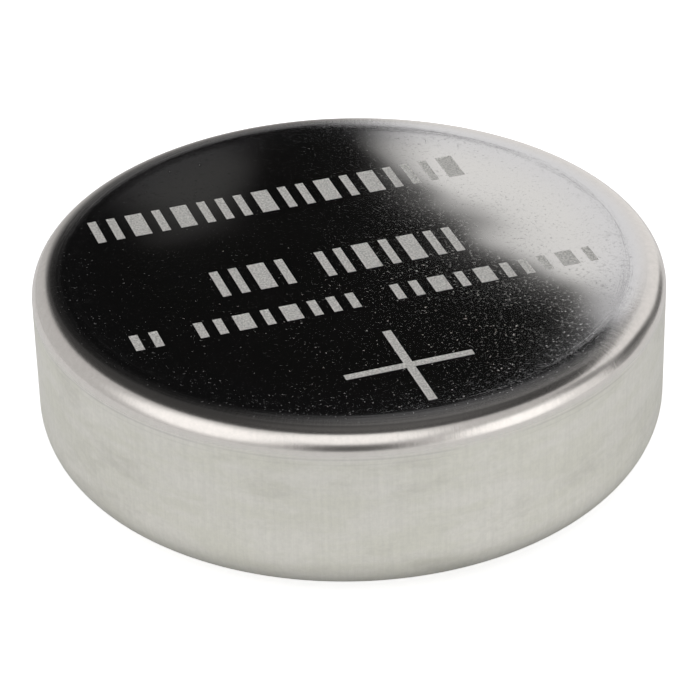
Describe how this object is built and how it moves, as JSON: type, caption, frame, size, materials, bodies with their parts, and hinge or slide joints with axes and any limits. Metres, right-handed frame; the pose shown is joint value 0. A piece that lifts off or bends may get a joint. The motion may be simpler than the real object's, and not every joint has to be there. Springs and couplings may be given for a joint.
{
  "type": "lithium coin cell",
  "caption": "Round sealed lithium cell with a polished crimped steel can as the positive terminal and a raised steel cap as the negative terminal.",
  "frame": {"origin": "centre of the negative terminal's flat face, which the cell stands on", "axes": "+Z along the cell's axis, from the negative terminal to the positive terminal"},
  "size_m": [0.0244, 0.0244, 0.0077],
  "materials": {
    "can_steel": "polished face, satin side",
    "gasket_plastic": "milky, slightly translucent",
    "cap_steel": "satin",
    "lithium": "soft rolled metal",
    "nonwoven": "matt fibres",
    "cathode_mix": "matt, granular",
    "ring_steel": "satin"
  },
  "bodies": {
    "root": {"positive_can": "can_steel", "gasket": "gasket_plastic", "negative_cap": "cap_steel", "lithium_anode": "lithium", "separator": "nonwoven", "cathode_pellet": "cathode_mix", "cathode_ring": "ring_steel"}
  },
  "joints": []
}
